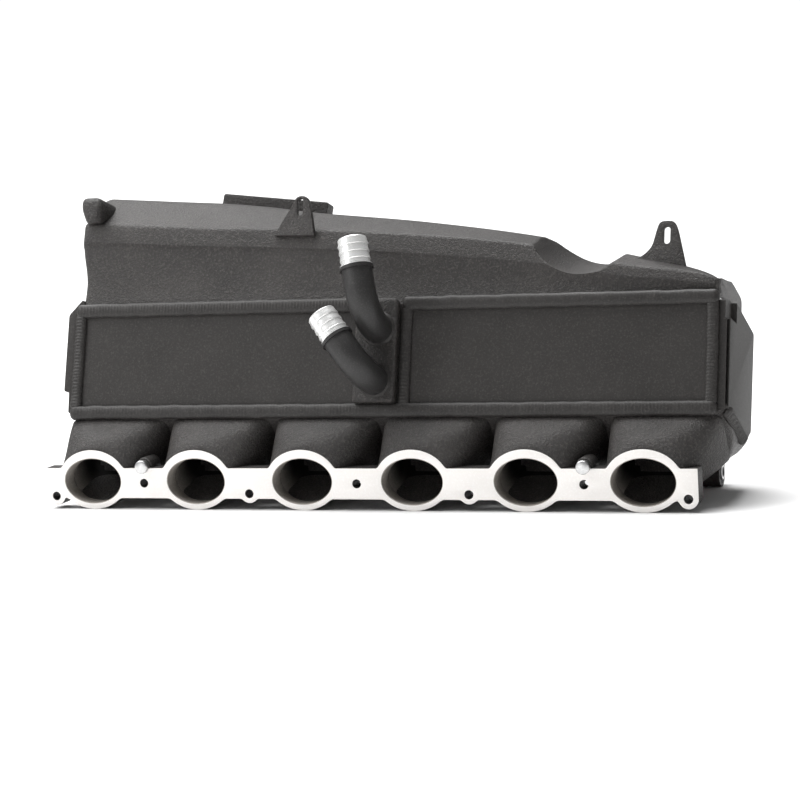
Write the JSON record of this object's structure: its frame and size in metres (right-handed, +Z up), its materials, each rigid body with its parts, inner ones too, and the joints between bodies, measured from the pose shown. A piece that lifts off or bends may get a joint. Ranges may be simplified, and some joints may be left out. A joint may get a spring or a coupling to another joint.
{
  "type": "intake manifold",
  "caption": "Straight-six intake manifold with a water-cooled charge cooler welded between two cast tanks, oval ports on one side and a throttle flange at the rear.",
  "frame": {"origin": "middle stud hole on the machined face that bolts to the cylinder head", "axes": "+X along the row of ports towards the low end of the upper tank, -Y out of the ports towards the cylinder head, +Z up"},
  "size_m": [0.5578, 0.1971, 0.2486],
  "materials": {
    "machined_face": "milled bright face, black coat behind it",
    "cast_coat": "black wrinkle coat on a sand casting",
    "sheet_coat": "black fine textured coat on sheet",
    "weld_coat": "rippled weld under black coat",
    "pipe_coat": "smooth satin black coat",
    "bare_aluminium": "plain mill finish",
    "turned_aluminium": "turned, bright",
    "red_plug": "gloss red",
    "seal_rubber": "matte",
    "steel": "zinc plated"
  },
  "bodies": {
    "root": {"port_flange": "machined_face", "runner_1": "cast_coat", "runner_2": "cast_coat", "runner_3": "cast_coat", "runner_4": "cast_coat", "runner_5": "cast_coat", "runner_6": "cast_coat", "lower_tank": "cast_coat", "injector_bungs": "cast_coat", "injector_plugs": "red_plug", "plug_seals": "seal_rubber", "locating_pins": "bare_aluminium", "core_tubes": "bare_aluminium", "core_fins": "bare_aluminium", "front_header": "bare_aluminium", "rear_header": "bare_aluminium", "core_rail_left": "bare_aluminium", "core_rail_right": "bare_aluminium", "front_panel_left": "sheet_coat", "front_panel_right": "sheet_coat", "pass_divider": "bare_aluminium", "rear_cover": "sheet_coat", "end_plate_left": "sheet_coat", "end_plate_right": "sheet_coat", "coolant_port_plate": "sheet_coat", "coolant_pipe_upper": "pipe_coat", "coolant_pipe_lower": "pipe_coat", "hose_nipple_upper": "turned_aluminium", "hose_nipple_lower": "turned_aluminium", "pipe_welds": "weld_coat", "weld_top_left": "weld_coat", "weld_top_right": "weld_coat", "weld_bottom": "weld_coat", "weld_left": "weld_coat", "weld_centre": "weld_coat", "weld_right": "weld_coat", "weld_rear_top": "weld_coat", "weld_rear_bottom": "weld_coat", "weld_end_seam": "weld_coat", "upper_tank": "cast_coat", "throttle_flange": "cast_coat", "throttle_seal": "seal_rubber", "thread_inserts": "steel", "corner_boss": "cast_coat", "cover_tab_left": "sheet_coat", "cover_tab_right": "sheet_coat", "support_eyes": "cast_coat", "rubber_bushes": "seal_rubber", "steel_sleeves": "steel"}
  },
  "joints": []
}
